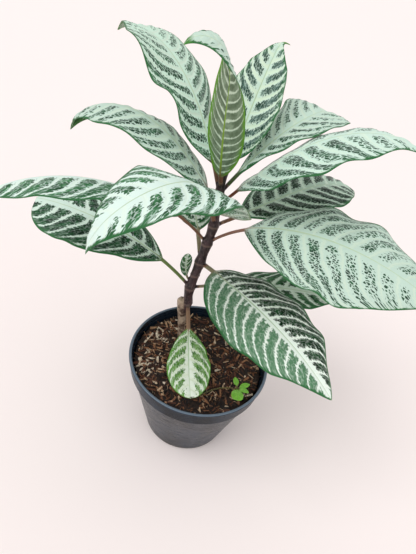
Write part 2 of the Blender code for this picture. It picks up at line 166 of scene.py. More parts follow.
# Camera at the photograph's angle, floor and light
view = dict(eye=(-0.010, -0.319, 0.485), down=39.7, roll=13.0, focal=450, high=554, sensor=36, nearest=0.01)
studio = dict(floor=(251, 241, 239), floorReach=20.0, floorRough=0.9, floorGloss=0.1,
              sky=(1.0, 0.985, 0.98, 1.0), skyPower=0.74,
              lamps=[("key", (-0.5, -0.35, 1.0), 40, 1.1), ("fill", (0.8, -0.5, 0.7), 70, 0.2)])


def placeCamera():
    lens = bpy.data.cameras.new("camera")
    lens.sensor_width = view["sensor"]
    lens.lens = view["focal"] * view["sensor"] / view["high"]
    lens.clip_start = view["nearest"]
    down, roll = math.radians(view["down"]), math.radians(view["roll"])
    right, rise = Vector((1, 0, 0)), Vector((0, math.sin(down), math.cos(down)))
    across = right * math.cos(roll) + rise * math.sin(roll)
    upright = rise * math.cos(roll) - right * math.sin(roll)
    turn = Matrix((across, upright, across.cross(upright))).transposed().to_4x4()
    camera = addObject("camera", lens)
    camera.matrix_world = Matrix.Translation(view["eye"]) @ turn
    bpy.context.scene.camera = camera


def lightStudio():
    world = bpy.data.worlds.new("studio")
    world.use_nodes = True
    ground = world.node_tree.nodes["Background"]
    ground.inputs["Color"].default_value = studio["sky"]
    ground.inputs["Strength"].default_value = studio["skyPower"]
    bpy.context.scene.world = world
    bpy.context.scene.view_settings.view_transform = "Standard"
    for name, towards, softness, power in studio["lamps"]:
        lamp = bpy.data.lights.new(name, "SUN")
        lamp.angle = math.radians(softness)
        lamp.energy = power
        holder = addObject(name, lamp)
        holder.location = towards
        holder.rotation_euler = (-Vector(towards)).to_track_quat("-Z", "Y").to_euler()


def layFloor():
    material, shader = newMaterial("floorPaper")
    shader.inputs["Base Color"].default_value = screen(studio["floor"])
    shader.inputs["Roughness"].default_value = studio["floorRough"]
    shader.inputs["Specular IOR Level"].default_value = studio["floorGloss"]
    reach = studio["floorReach"]
    mesh = bpy.data.meshes.new("floor")
    mesh.from_pydata([(x * reach, y * reach, 0) for x, y in ((-1, -1), (1, -1), (1, 1), (-1, 1))], [],
                     [(0, 1, 2, 3)])
    addObject("floor", mesh, [material])


placeCamera()
lightStudio()
layFloor()
print("camera, floor and lights ready")


# Shapes shared by several pieces
def joinInto(piece, others):
    with bpy.context.temp_override(active_object=piece, selected_editable_objects=[piece, *others]):
        bpy.ops.object.join()


def smoothed(mesh, angle=50):
    mesh.shade_smooth()
    mesh.set_sharp_from_angle(angle=math.radians(angle))
    return mesh


def closedMesh(name, points, faces):  # with all faces turned outward
    shape = bmesh.new()
    corners = [shape.verts.new(point) for point in points]
    for face in faces:
        shape.faces.new([corners[i] for i in face])
    bmesh.ops.recalc_face_normals(shape, faces=shape.faces)
    mesh = bpy.data.meshes.new(name)
    shape.to_mesh(mesh)
    shape.free()
    return mesh


def ease(value, low, high):  # as step, on a plain number
    share = min(max((value - low) / (high - low), 0.0), 1.0)
    return share * share * (3 - 2 * share)


def between(low, high, share):
    return low + (high - low) * share


def readMarks(marks, at):  # straight from mark to mark, each as (place, value)
    for (place0, value0), (place1, value1) in zip(marks, marks[1:]):
        if at <= place1:
            return value0 + (value1 - value0) * (at - place0) / (place1 - place0)
    return marks[-1][1]


def onCircle(radius, k, count):  # the place of the k-th of count even steps
    turn = 2 * math.pi * k / count
    return radius * math.cos(turn), radius * math.sin(turn)


def bands(rows, count):  # four-sided faces between rings of count points
    faces = []
    for row in range(rows):
        for k in range(count):
            a, b = row * count + k, row * count + (k + 1) % count
            faces.append((a, b, b + count, a + count))
    return faces


def writeIn(mesh, label, values):  # a vector for each point, for the materials to read
    mesh.attributes.new(label, "FLOAT_VECTOR", "POINT").data.foreach_set("vector", values)


def ringed(rings):  # points and faces of a closed skin over rings of equally many points
    count = len(rings[0])
    points = [point for ring in rings for point in ring]
    foot, top = tuple(reversed(range(count))), tuple(range(len(points) - count, len(points)))
    return points, [foot] + bands(len(rings) - 1, count) + [top]


# Stem: middle lines of the old trunk and of the shoot, as (x, z, radius), and the heights of the joints
stem = dict(
    y=0.025, sides=26, steps=7, voxel=0.00055, soften=3, stubRows=8, stubSwell=0.0002, nearby=0.012,
    scarHigh=0.0011, scarSwell=0.00035, barkRough=0.0004, stalkFrom=0.0012, stalkFull=0.004,
    stubFoot=1.6, gapSteps=4, join=0.001, grain=(500, 500, 140), shootRough=0.4,
    trunk=((-0.0235, 0.075, 0.0042), (-0.0245, 0.102, 0.0044), (-0.0262, 0.122, 0.0040),
           (-0.0285, 0.141, 0.0046), (-0.0305, 0.157, 0.0052), (-0.0312, 0.163, 0.0040)),
    shoot=((-0.0290, 0.140, 0.0030), (-0.0262, 0.152, 0.0046), (-0.0250, 0.160, 0.0052),
           (-0.0255, 0.170, 0.0047), (-0.0256, 0.181, 0.0055), (-0.0243, 0.190, 0.0046),
           (-0.0222, 0.205, 0.0046), (-0.0207, 0.216, 0.0054), (-0.0195, 0.226, 0.0045),
           (-0.0179, 0.239, 0.0052), (-0.0166, 0.249, 0.0043), (-0.0156, 0.260, 0.0050),
           (-0.0160, 0.270, 0.0041), (-0.0163, 0.280, 0.0047), (-0.0165, 0.287, 0.0039),
           (-0.0167, 0.295, 0.0042), (-0.0165, 0.303, 0.0032), (-0.0158, 0.313, 0.0028),
           (-0.0150, 0.324, 0.0010)),
    scars=(0.118, 0.131, 0.146, 0.160, 0.181, 0.199, 0.216, 0.239, 0.260, 0.280, 0.293))
joints = dict(low=0.160, bud=0.186, second=0.181, third=0.216, fourth=0.239, fifth=0.260, sixth=0.280,
              crown=0.293, tip=0.300)


def stemPoint(height):
    return Vector((readMarks([(z, x) for x, z, _ in stem["shoot"]], height), stem["y"], height))


# Leaf form, as in the solids: thickness and stalk in metres, and how finely the skin is divided
form = dict(stalkHalf=0.0021, stalkRise=0.0011, stalkDepth=0.0015, sheetHalf=0.0003, ribHalf=0.0016,
            ribDepth=0.0013, bladeEase=0.15, pointFrom=0.72, thinFrom=0.9, spineSteps=90,
            across=18, along=0.0014, overlap=0.0012, uneven=0.05,
            rowEase=1.25, rippleEase=1.5, rippleShift=0.25, veinOffset=0.45, bulk=((0.62, 0.62), (1.0, 0.0)),
            ribShare=0.45, ribTaper=0.7, ribTrough=0.0003, thinTip=0.4, thinRim=0.5, rimFrom=0.8,
            quiltFoot=(0.02, 0.15), quiltTip=(0.0, 0.1), quiltRib=(0.02, 0.3), quiltRim=(0.0, 0.25))

# What a leaf has unless its own entry says otherwise
plainLeaf = dict(seat=0.011, stalk=0.022, stout=1.0, turn=0, roll=(0, 0), curl=0, hook=0, curlFrom=0.85,
                 shape=(0.75, 0.85), point=0.35, left=(10, 5, -20), right=(10, 5, -20),
                 waves=(4, 0.0012, 0.0012, 0.0), veins=10, lean=(0.05, 0.40), sweep=(0.45, 0.35),
                 quilt=0.0010, dents=(), look="silver", marks={}, underMarks={})

leaves = {
    "low_front": dict(
        joint="low", heading=-75, pitch=(-15, -42, 0), length=0.102, stalk=0.030, width=0.043,
        shape=(0.8, 0.6), point=0.0, left=(6, 4, -10), right=(6, 4, -10), waves=(3, 0.0006, 0.0006, 0.2),
        veins=7, look="yellow",
        marks={"White": (232, 242, 228), "Dead Side": 1.0, "Dead Place": 0.985, "Dead Size": 2.6,
               "Green": (50, 104, 26)}),
    "dark_left": dict(
        joint="second", heading=180, turn=-16, pitch=(45, 22, -14), length=0.182, stalk=0.042, width=0.071,
        shape=(0.7, 0.4), point=0.0, roll=(-8, -10), left=(0, -12, -20), right=(5, 0, -15),
        waves=(3, 0.0012, 0.0012, 0.1), veins=9, look="darkWide",
        marks={"Dead Side": -19.0, "Dead Place": 0.95, "Dead Size": 4.0, "Whiteness": -0.13, "Rungs": 0.28,
               "Green": (9, 38, 22)}),
    "dark_back": dict(
        joint="second", heading=-3, pitch=(26, 13, 0), length=0.156, stalk=0.034, width=0.054, look="dark"),
    "dark_front": dict(
        joint="third", heading=-41, pitch=(6, 2, -28), length=0.176, stalk=0.020, width=0.086,
        shape=(0.6, 0.8), point=0.4, left=(4, 8, -20), right=(-4, 6, -22), waves=(4, 0.0022, 0.0016, 0.1),
        veins=13, look="dark", stout=1.3,
        # the right half has a painted sheen, paler green as if it caught more light
        marks={"Right Half Sheen": 0.62, "Whiten": 0.0, "Vein Width": 1.05, "Feather": 3.4, "Near Vein": 0.16,
               "White": (236, 248, 238), "Vein": (240, 250, 240), "Rungs": 0.3, "Green": (2, 32, 13),
               "Light Green": (24, 78, 40)}),
    "hidden_left": dict(
        joint="third", heading=112, pitch=(45, 20, -8), length=0.102, stalk=0.032, width=0.044, veins=8,
        look="dark"),
    "big_right": dict(
        joint="fourth", heading=-22, pitch=(55, 2, -20), length=0.216, stalk=0.046, width=0.094,
        shape=(0.75, 0.75), point=0.3, left=(16, 12, -20), right=(-16, -32, -22),
        waves=(4, 0.0028, 0.0022, 0.55), veins=11,
        marks={"Stalk": (150, 112, 96), "Whiteness": 0.07, "Whiten": 0.14, "Rungs": 1.0, "Specks": 0.25,
               "Blotch": 0.5, "Green": (14, 44, 30)}),
    "far_left": dict(
        joint="fourth", heading=-160, pitch=(50, 21, -40), length=0.220, stalk=0.044, width=0.066,
        shape=(0.7, 0.7), left=(8, 4, -12), right=(-45, -40, -15), waves=(4, 0.0016, 0.0010, 0.3), veins=12,
        look="white",
        marks={"Whiteness": -0.14, "Vein Width": 1.4, "Midrib Full": 4.0, "Stalk": (128, 92, 70)}),
    "front_left": dict(
        joint="fifth", heading=-104, turn=-56, pitch=(61, 53, -84), length=0.202, stalk=0.026, width=0.080,
        shape=(0.25, 0.75), left=(8, 0, -20), right=(-10, 9, -15), waves=(3, 0.0030, 0.0014, 0.0), veins=12,
        look="white",
        marks={"Stalk": (124, 86, 62)},
        underMarks={"White": (206, 226, 214), "Green": (36, 82, 50), "Whiteness": 0.08,
                    "Light Green": (76, 130, 88), "Vein Width": 1.4, "Midrib Full": 4.0}),
    "shaded_right": dict(
        joint="fifth", heading=38, pitch=(10, 34, -30), length=0.176, stalk=0.028, width=0.072,
        shape=(0.75, 0.65), waves=(4, 0.0018, 0.0014, 0.4),
        # painted shade: darker whites and greens, as this leaf lies in shade under the leaves above
        marks={"White": (180, 206, 188), "Green": (6, 28, 16), "Whiteness": -0.09,
               "Light Green": (26, 60, 38), "Rungs": 0.4, "Vein Width": 1.1}),
    "back_left": dict(
        joint="sixth", heading=172, pitch=(50, 56, -78), length=0.180, stalk=0.018, width=0.060,
        left=(0, -6, -22), right=(10, -38, -22), waves=(3, 0.0016, 0.0016, 0.4), veins=12,
        marks={"Stalk": (112, 74, 56), "Tip From": 0.88, "Tip": (50, 102, 46)},
        underMarks={"Whiteness": -0.3, "Green": (24, 66, 32), "Light Green": (66, 120, 62),
                    "Vein Width": 0.3, "Midrib Full": 0.5}),
    "tip_right": dict(
        joint="sixth", heading=2, pitch=(54, 62, -34), length=0.190, stalk=0.024, width=0.076,
        shape=(0.85, 1.1), left=(-18, -5, -15), right=(4, -4, -22), waves=(4, 0.0014, 0.0022, 0.2),
        marks={"Stalk": (118, 70, 54), "White": (208, 234, 220), "Vein": (216, 238, 220)}),
    "upper_right": dict(
        joint="crown", heading=38, turn=8, pitch=(49, 50, -2), length=0.131, stalk=0.022, width=0.060,
        curl=-60, curlFrom=0.85, shape=(1.1, 0.26), point=0.0, left=(0, 4, -18), right=(18, 7, -12),
        waves=(4, 0.0014, 0.0014, 0.6), dents=(("left", 0.86, 0.16, 0.10, -0.30),),
        marks={"Stalk": (76, 92, 56), "Whiteness": 0.0}),
    "top_left": dict(
        joint="crown", heading=143, pitch=(62, 56, -28), length=0.194, stalk=0.026, width=0.068, hook=30,
        curl=-15, shape=(0.75, 0.75), point=0.5, left=(-6, 24, -10), right=(-28, 4, -6),
        waves=(3, 0.0032, 0.0016, 0.15), veins=13, dents=(("left", 0.37, 0.14, 0.04, 0.26),),
        marks={"Tip From": 0.93, "Tip": (104, 156, 66), "Whiteness": -0.01, "Whiten": 0.2,
               "White": (202, 230, 212), "Green": (12, 42, 27)}),
    "top_back": dict(
        joint="tip", heading=74, pitch=(56, 66, 32), length=0.138, stalk=0.024, width=0.046,
        shape=(0.65, 0.95), point=0.6, curl=-60, hook=-100, curlFrom=0.86, left=(24, 12, -10),
        right=(14, 10, -10), waves=(3, 0.0012, 0.0012, 0.5), look="banded",
        marks={"Tip From": 0.92, "Tip": (96, 150, 60)}),
    "top_centre": dict(
        joint="tip", heading=-100, turn=-80, pitch=(50, 99, 84), length=0.153, stalk=0.018, width=0.038,
        shape=(0.7, 0.8), point=0.0, curl=-150, curlFrom=0.55, left=(12, -30, -5), right=(24, 10, -5),
        waves=(3, 0.0008, 0.0008, 0.3), veins=20,
        marks={"Vein Width": 0.8, "Tip From": 0.93, "Tip": (70, 130, 56)},
        underMarks={"White": (160, 180, 156), "Vein": (216, 230, 208), "Green": (100, 118, 92),
                    "Light Green": (144, 162, 136), "Vein Width": 0.9, "Midrib Foot": 0.5,
                    "Midrib Full": 0.6, "Whiteness": -0.2, "Blotch": 0.1, "Margin": (104, 156, 50),
                    "Rib": (136, 168, 66), "Stalk": (124, 82, 62)}),
    "bud": dict(
        joint="bud", heading=-170, pitch=(48, 86, 96), length=0.040, seat=0.009, stalk=0.012, stout=0.55,
        width=0.014, shape=(0.7, 0.6), point=0.0, roll=(-20, -70), left=(10, 5, 0), right=(10, 5, 0),
        waves=(1, 0.0, 0.0, 0.0), veins=5, quilt=0.0001, look="dark",
        marks={"Midrib Foot": 0.3, "Midrib Full": 0.7, "Vein Width": 0.4, "Feather": 1.2, "Cell": 1.4,
               "Whiteness": -0.15, "Margin Width": 0.7, "Green": (18, 62, 24),
               "Light Green": (72, 132, 50)},
        underMarks={"Midrib Foot": 0.3, "Midrib Full": 0.6, "Vein Width": 0.4, "Feather": 1.0, "Cell": 1.4,
                    "Green": (34, 84, 32), "Light Green": (84, 140, 60)}),
}


def leafSpine(leaf, start):  # the midrib at even steps as (point, left, up)
    point = start.copy()
    stride = leaf["length"] / form["spineSteps"]
    spine = []
    for i in range(form["spineSteps"] + 1):
        s = i / form["spineSteps"]
        bend = max(0.0, (s - leaf["curlFrom"]) / (1 - leaf["curlFrom"])) ** 2
        first, middle, last = leaf["pitch"]
        pitch = (1 - s) ** 2 * first + 2 * s * (1 - s) * middle + s * s * last + bend * leaf["curl"]
        heading = leaf["heading"] + s * s * leaf["turn"] + bend * leaf["hook"]
        roll = between(*leaf["roll"], s)
        pitch, heading, roll = math.radians(pitch), math.radians(heading), math.radians(roll)
        level = Vector((-math.sin(heading), math.cos(heading), 0))
        ahead = Vector((level.y, -level.x, 0)) * math.cos(pitch) + Vector((0, 0, math.sin(pitch)))
        over = ahead.cross(level)
        left = level * math.cos(roll) + over * math.sin(roll)
        up = over * math.cos(roll) - level * math.sin(roll)
        spine.append((point.copy(), left, up))
        point += ahead * stride
    return spine


def grownLeaf(values):
    leaf = {**plainLeaf, **values}
    return leaf, leafSpine(leaf, stemPoint(joints[leaf["joint"]]))


def onSpine(spine, s):
    spot = min(max(s, 0.0), 1.0) * form["spineSteps"]
    i = min(int(spot), form["spineSteps"] - 1)
    return [a.lerp(b, spot - i) for a, b in zip(spine[i], spine[i + 1])]


def alongBlade(leaf, s):  # -1 to 0 on the stalk, 0 to 1 on the blade
    stalk = leaf["stalk"] / leaf["length"]
    return min((s - stalk) / (1 - stalk), 1.0) if s >= stalk else (s - stalk) / stalk


def halfWidth(leaf, b):
    foot, tip = leaf["shape"]
    fullest = foot / (foot + tip)
    blade = leaf["width"] / 2 * (b / fullest) ** foot * ((1 - b) / (1 - fullest)) ** tip
    blade *= 1 - leaf["point"] * max(0.0, (b - form["pointFrom"]) / (1 - form["pointFrom"]))
    return math.hypot(blade, form["stalkHalf"] * leaf["stout"] * (1 - b))


def leafRow(leaf, spine, s, swell=0.0):
    along = alongBlade(leaf, s)
    b = max(along, 0.0)
    full = halfWidth(leaf, b)
    spread = ease(b, 0.0, form["bladeEase"])
    middle, left, up = onSpine(spine, s)
    stout = leaf["stout"]
    count, waveLeft, waveRight, phase = leaf["waves"]
    spacing = (leaf["length"] - leaf["stalk"]) / leaf["veins"]
    rows = []
    for side, sign, wave in (("left", 1, waveLeft), ("right", -1, waveRight)):
        half = full
        for where, centre, before, after, depth in leaf["dents"]:
            if where == side:
                half *= 1 - depth * math.exp(-((b - centre) / (before if b < centre else after)) ** 2)
        half *= 1 + form["uneven"] * noise.noise(Vector((b * 9, sign * 3.1, leaf["length"] * 100))) * spread
        rib = min(form["ribHalf"] * stout * (1 - b / 2), form["ribShare"] * half)
        foot, tip, droop = (math.radians(angle) for angle in leaf[side])
        turns = count * b + phase + form["rippleShift"] * sign
        ripple = wave * math.sin(2 * math.pi * turns) * math.sin(math.pi * b)
        fold = between(foot, tip, b) * spread
        lean = between(*leaf["lean"], b)
        row = []
        for k in range(form["across"] + 1):
            share = (k / form["across"]) ** form["rowEase"]
            bulk = readMarks(((0.0, 1.0), (rib / half, 0.9), *form["bulk"]), share)
            rise = max(form["stalkRise"] * stout * bulk, form["sheetHalf"])
            depth = max(form["stalkDepth"] * stout * bulk, form["sheetHalf"])
            middleAngle = fold + droop * spread * share / 2
            angle = fold + droop * spread * share
            reach = share * half
            out = left * (sign * math.cos(middleAngle)) + up * math.sin(middleAngle)
            normal = up * math.cos(angle) - left * (sign * math.sin(angle))
            point = middle + out * reach + up * (ripple * share ** form["rippleEase"])
            bow = lean + leaf["sweep"][0] * share + leaf["sweep"][1] * share ** 4
            y0 = s * leaf["length"] - leaf["stalk"] - reach * bow
            vein = y0 / spacing + (form["veinOffset"] if side == "right" else 0.0)
            cover = ease(b, *form["quiltFoot"]) * ease(1 - b, *form["quiltTip"])
            cover = cover * ease(share, *form["quiltRib"]) * ease(1 - share, *form["quiltRim"])
            point += normal * (leaf["quilt"] * cover * (0.5 - 0.5 * math.cos(2 * math.pi * vein)))
            peak = max(0.0, 1 - reach / rib) if rib > 0 else 0.0
            ridge = form["ribDepth"] * stout * (1 - form["ribTaper"] * b) * peak * peak * (3 - 2 * peak)
            trough = form["ribTrough"] * spread * ease(peak, 0.3, 1.0)
            above = rise + (form["sheetHalf"] - rise) * spread - trough
            below = depth + (form["sheetHalf"] + ridge - depth) * spread
            thin = 1 - form["thinTip"] * ease(b, form["thinFrom"], 1.0)
            thin *= 1 - form["thinRim"] * spread * ease(share, form["rimFrom"], 1.0)
            where = (sign * reach * 1000, along, (half - reach) * 1000)
            flow = (vein, sign * reach * math.hypot(1, lean) * 1000, vein * spacing * 1000)
            row.append((point + normal * (above * thin + swell), point - normal * (below * thin + swell),
                        where, flow))
        rows.append(row)
    return list(reversed(rows[0])) + rows[1][1:]


def leafPiece(name, leaf, spine, rows):
    sections = [leafRow(leaf, spine, s) for s in rows]
    across = len(sections[0])
    points, wheres, flows = [], [], []
    for section in sections:
        for layer in (0, 1):
            points += [entry[layer] for entry in section]
            wheres += [entry[2] for entry in section]
            flows += [entry[3] for entry in section]
    faces, under = [], []
    for row in range(len(sections) - 1):
        a, b = row * 2 * across, (row + 1) * 2 * across
        for k in range(across - 1):
            faces.append((a + k, a + k + 1, b + k + 1, b + k))
            faces.append((a + across + k, b + across + k, b + across + k + 1, a + across + k + 1))
            under += [0, 1]
        faces += [(a, a + across, b + across, b),
                  (a + across - 1, b + across - 1, b + 2 * across - 1, a + 2 * across - 1)]
        under += [0, 0]
    for k in range(across - 1):
        faces.append((k, across + k, across + k + 1, k + 1))
        under.append(1)
    points.append(onSpine(spine, 1.0)[0])
    wheres.append((0.0, 1.0, 0.0))
    flows.append(flows[-1])
    a = (len(sections) - 1) * 2 * across
    rim = list(range(a, a + across)) + list(reversed(range(a + across, a + 2 * across)))
    for k in range(len(rim)):
        faces.append((rim[k], rim[(k + 1) % len(rim)], len(points) - 1))
        under.append(0 if k < across else 1)
    mesh = closedMesh(name, points, faces)
    for label, values in (("bladePlace", wheres), ("veinPlace", flows)):
        writeIn(mesh, label, [number for value in values for number in value])
    mesh.polygons.foreach_set("material_index", under)
    return smoothed(mesh)


# Zebra markings: white side veins and midrib over green, with a net of fine white lines between them
zebraInputs = {
    "White": (205, 228, 214), "Vein": (214, 234, 210), "Green": (38, 78, 52), "Light Green": (70, 125, 84),
    "Margin": (50, 108, 62), "Rib": (190, 212, 180), "Stalk": (120, 88, 70), "Tip": (120, 170, 80),
    "Spacing": 13.0, "Vein Width": 1.4, "Vein Fade": 0.6, "Feather": 3.0, "Midrib Foot": 0.6,
    "Midrib Full": 4.0, "Whiteness": 0.1, "Near Vein": 0.2, "Vein Reach": 3.2, "Between": 0.0, "Cell": 3.0,
    "Stretch": 1.3, "Blotch": 0.2, "Whiten": 0.0, "Margin Width": 1.6, "Tip From": 2.0, "Dead Side": 0.0,
    "Dead Place": 0.0, "Dead Size": -9.0, "Right Half Sheen": 0.0, "Rungs": 0.0, "Specks": 0.0, "Seed": 0.0}

# What all leaves share. Widths are in millimetres, and rough is for green and for white
# the first colour here is a painted sheen, a paler green laid over the right half of a blade
zebraForm = dict(paintedSheenHalf=(104, 156, 116), deadBrown=(62, 46, 34), wander=0.5, tickFrom=0.47, tickReach=4.0,
                 ragged=1.6, flowing=1.6, lineEdge=0.04, bladeReach=150.0, rough=(0.34, 0.46), sunk=-0.6,
                 pebbly=0.35, bump=(0.5, 0.0006), gloss=0.14)


def zebraGroup():
    outputs = {"Color": "Color", "Height": "Float", "Roughness": "Float"}
    tree, given, gives = newGroup("zebraMarkings", "ShaderNodeTree", zebraInputs, outputs)
    x, b, edge = split(readOut("bladePlace"))
    number, run, tally = split(readOut("veinPlace"))
    seed = given["Seed"]
    off = calc("ABSOLUTE", x)
    share = calc("DIVIDE", off, plus(off, edge, 0.01))
    spot = place(run, tally, seed)
    # side veins, which wander a little and have feathered edges
    wander = times(minus(cloud(spot, 0.07), 0.5), zebraForm["wander"])
    away = times(calc("PINGPONG", plus(number, wander), 0.5), given["Spacing"])
    ticks = cloud(place(times(run, 1.1), times(tally, 0.25), seed), 1.0, 3.0, 0.6)
    ticks = times(calc("MAXIMUM", minus(ticks, zebraForm["tickFrom"]), 0.0), given["Feather"],
                  zebraForm["tickReach"])
    thick = times(given["Vein Width"], minus(1.0, times(share, given["Vein Fade"])),
                  blend(cloud(spot, 0.12), 0.6, 1.4))
    toVein = minus(away, thick, ticks)
    # white zone along the midrib
    zone = blend(step(b, 0.02, 0.62), given["Midrib Foot"], given["Midrib Full"])
    ragged = times(minus(cloud(spot, 0.45, 3.0), 0.5), zone)
    toRib = minus(off, zone, times(ragged, zebraForm["ragged"]))
    near = calc("SMOOTH_MIN", toVein, toRib, zebraForm["flowing"])
    # short veins that start between them and soon fade
    halfway = calc("PINGPONG", plus(number, wander, 0.5), 0.5)
    short = minus(times(halfway, given["Spacing"]), times(ticks, 0.6))
    reach = times(given["Between"], blend(cloud(spot, 0.1), 0.3, 1.1))
    fade = step(share, times(reach, 0.5), plus(reach, 0.01))
    short = plus(short, times(fade, 9.0))
    near = calc("MINIMUM", near, minus(short, 0.7))
    veined = step(near, 0.28, -0.28)
    # net of fine lines: wide lines leave only dashes of green
    warp = addNode("ShaderNodeTexNoise", {"Vector": spot, "Scale": 0.5, "Detail": 2.0}).outputs[1]
    bentRun, bentTally, _ = split(vectorCalc("ADD", {0: spot, 1: warp}))
    net = place(calc("DIVIDE", bentRun, times(given["Cell"], given["Stretch"])),
                calc("DIVIDE", bentTally, given["Cell"]), seed)
    cell = addNode("ShaderNodeTexVoronoi", {"Vector": net, "Scale": 1.0},
                   feature="DISTANCE_TO_EDGE").outputs["Distance"]
    # thin rungs from vein to vein, broken here and there
    broken = step(cloud(spot, 0.4, 2.0), 0.38, 0.54)
    rungs = times(step(cell, 0.12, 0.05), times(broken, given["Rungs"]))
    strokes = place(times(run, 1.5), times(tally, 0.5), seed)
    cell = plus(cell, times(minus(cloud(strokes, 1.0, 3.0, 0.65), 0.5), 0.3))
    closeness = step(near, given["Vein Reach"], 0.0)
    # the blade grows whiter towards the tip by Whiten: partly the leaf's own pattern, partly painted shade
    # that keeps the foot darker near the crown
    limit = plus(given["Whiteness"], times(closeness, given["Near Vein"]),
                 times(minus(cloud(spot, 0.09, 2.0), 0.5), given["Blotch"]),
                 times(step(b, 0.35, 0.95), given["Whiten"]))
    green = step(cell, minus(limit, zebraForm["lineEdge"]), plus(limit, zebraForm["lineEdge"]))
    specks = times(step(cloud(strokes, 1.7, 2.0), 0.52, 0.66), given["Specks"])
    white = chained("MAXIMUM", veined, minus(1.0, green), rungs, specks)
    # green margin
    fray = plus(cloud(spot, 0.6), times(cloud(spot, 0.09), 1.6))
    frayed = plus(edge, times(minus(fray, 1.3), 2.4))
    rim = step(frayed, times(given["Margin Width"], 1.3), times(given["Margin Width"], 0.5))
    white = times(white, minus(1.0, rim))
    # colours
    greens = tint(step(cloud(spot, 0.16, 4.0, 0.6), 0.35, 0.7), given["Green"], given["Light Green"])
    # painted sheen: the right half of the blade is tinted paler green, as if it caught more light
    greens = tint(times(step(x, 1.0, -1.0), given["Right Half Sheen"]), greens, zebraForm["paintedSheenHalf"])
    greens = tint(step(edge, 5.0, 0.5), greens, given["Margin"])
    whites = tint(step(toVein, 0.4, -0.9), given["White"], given["Vein"])
    colour = tint(white, greens, whites)
    colour = tint(step(b, given["Tip From"], plus(given["Tip From"], 0.04)), colour, given["Tip"])
    ribTint = tint(step(b, 0.16, -0.05), given["Rib"], given["Stalk"])
    ribWide = blend(step(b, 0.0, 1.0), 1.0, 0.25)
    colour = tint(step(off, ribWide, times(ribWide, 0.6)), colour, ribTint)
    colour = tint(step(b, 0.05, -0.02), colour, given["Stalk"])
    # a patch that has died and turned brown, at a place on the blade
    alongPatch = times(minus(b, given["Dead Place"]), zebraForm["bladeReach"])
    fromPatch = vectorCalc("LENGTH", {0: place(minus(x, given["Dead Side"]), alongPatch)}, "Value")
    rotten = plus(fromPatch, times(cloud(spot, 0.5, 3.0), 5.0))
    rotten = step(rotten, plus(given["Dead Size"], 3.0), given["Dead Size"])
    feed(gives["Color"], tint(rotten, colour, zebraForm["deadBrown"]))
    feed(gives["Roughness"], blend(white, *zebraForm["rough"]))
    sunk = times(step(away, 1.6, 0.0), zebraForm["sunk"])
    feed(gives["Height"], plus(sunk, times(cloud(spot, 0.9, 3.0), zebraForm["pebbly"])))
    return tree


zebra = zebraGroup()

# Each look has the markings of the leaf's upper side, and under has those of the lower side
looks = dict(
    silver={"White": (196, 220, 206), "Vein": (206, 226, 208), "Green": (18, 48, 32),
            "Light Green": (48, 98, 66), "Vein Width": 1.3, "Feather": 2.4, "Midrib Foot": 1.0,
            "Midrib Full": 3.8, "Whiteness": 0.04, "Near Vein": 0.34, "Vein Reach": 2.6, "Cell": 3.2,
            "Stretch": 0.6, "Blotch": 0.26, "Whiten": 0.10, "Rungs": 0.7, "Specks": 0.12,
            "Margin Width": 1.4},
    white={"White": (222, 242, 234), "Vein": (226, 244, 232), "Green": (22, 68, 36),
           "Light Green": (66, 134, 82), "Vein Width": 1.9, "Feather": 2.6, "Midrib Foot": 1.2,
           "Midrib Full": 5.4, "Whiteness": -0.02, "Near Vein": 0.32, "Vein Reach": 2.8, "Cell": 3.4,
           "Stretch": 0.6, "Blotch": 0.34, "Rungs": 0.55, "Specks": 0.08, "Margin Width": 1.8},
    banded={"White": (206, 230, 214), "Green": (24, 60, 44), "Light Green": (82, 114, 106),
            "Vein Width": 1.6, "Feather": 2.6, "Midrib Foot": 1.2, "Midrib Full": 2.6, "Whiteness": -0.06,
            "Near Vein": 0.28, "Vein Reach": 2.0, "Cell": 3.0, "Stretch": 0.6, "Blotch": 0.30, "Rungs": 0.5,
            "Specks": 0.12, "Margin Width": 0.8},
    dark={"White": (210, 228, 214), "Vein": (218, 234, 220), "Green": (14, 56, 29),
          "Light Green": (62, 122, 74), "Stalk": (150, 140, 112), "Vein Width": 1.5, "Feather": 3.8,
          "Midrib Foot": 0.5, "Midrib Full": 3.8, "Whiteness": -0.22, "Near Vein": 0.24, "Vein Reach": 2.6,
          "Between": 0.4, "Cell": 2.6, "Stretch": 0.8, "Blotch": 0.18, "Rungs": 0.12, "Margin Width": 2.0},
    darkWide={"White": (212, 234, 222), "Vein": (216, 236, 222), "Green": (12, 44, 27),
              "Light Green": (34, 92, 52), "Stalk": (120, 140, 84), "Vein Width": 1.5, "Feather": 3.0,
              "Midrib Foot": 1.2, "Midrib Full": 4.4, "Whiteness": -0.07, "Near Vein": 0.24,
              "Vein Reach": 2.6, "Cell": 3.2, "Stretch": 0.6, "Blotch": 0.16, "Rungs": 0.35, "Specks": 0.04,
              "Margin Width": 1.8},
    yellow={"White": (222, 234, 214), "Vein": (220, 232, 208), "Green": (60, 112, 34),
            "Light Green": (122, 170, 82), "Margin": (96, 150, 62), "Stalk": (150, 120, 98),
            "Vein Width": 0.8, "Feather": 3.6, "Midrib Foot": 0.8, "Midrib Full": 4.4, "Whiteness": -0.18,
            "Near Vein": 0.30, "Vein Reach": 2.2, "Between": 0.3, "Cell": 2.0, "Stretch": 0.8,
            "Blotch": 0.36, "Whiten": 0.14, "Rungs": 0.3, "Specks": 0.04, "Margin Width": 1.0})
under = {"White": (160, 180, 158), "Vein": (184, 200, 176), "Green": (92, 114, 90),
         "Light Green": (122, 142, 116), "Margin": (90, 134, 78), "Rib": (140, 166, 96), "Vein Width": 0.6,
         "Feather": 0.8, "Midrib Foot": 0.8, "Midrib Full": 1.0, "Whiteness": 0.02, "Near Vein": 0.2,
         "Cell": 2.8, "Stretch": 0.7, "Blotch": 0.3}


def leafMaterial(name, values):
    material, shader = newMaterial(name)
    made = addNode("ShaderNodeGroup", values, node_tree=zebra).outputs
    coat(shader, made["Color"], made["Roughness"], made["Height"], zebraForm["bump"], zebraForm["gloss"])
    return material


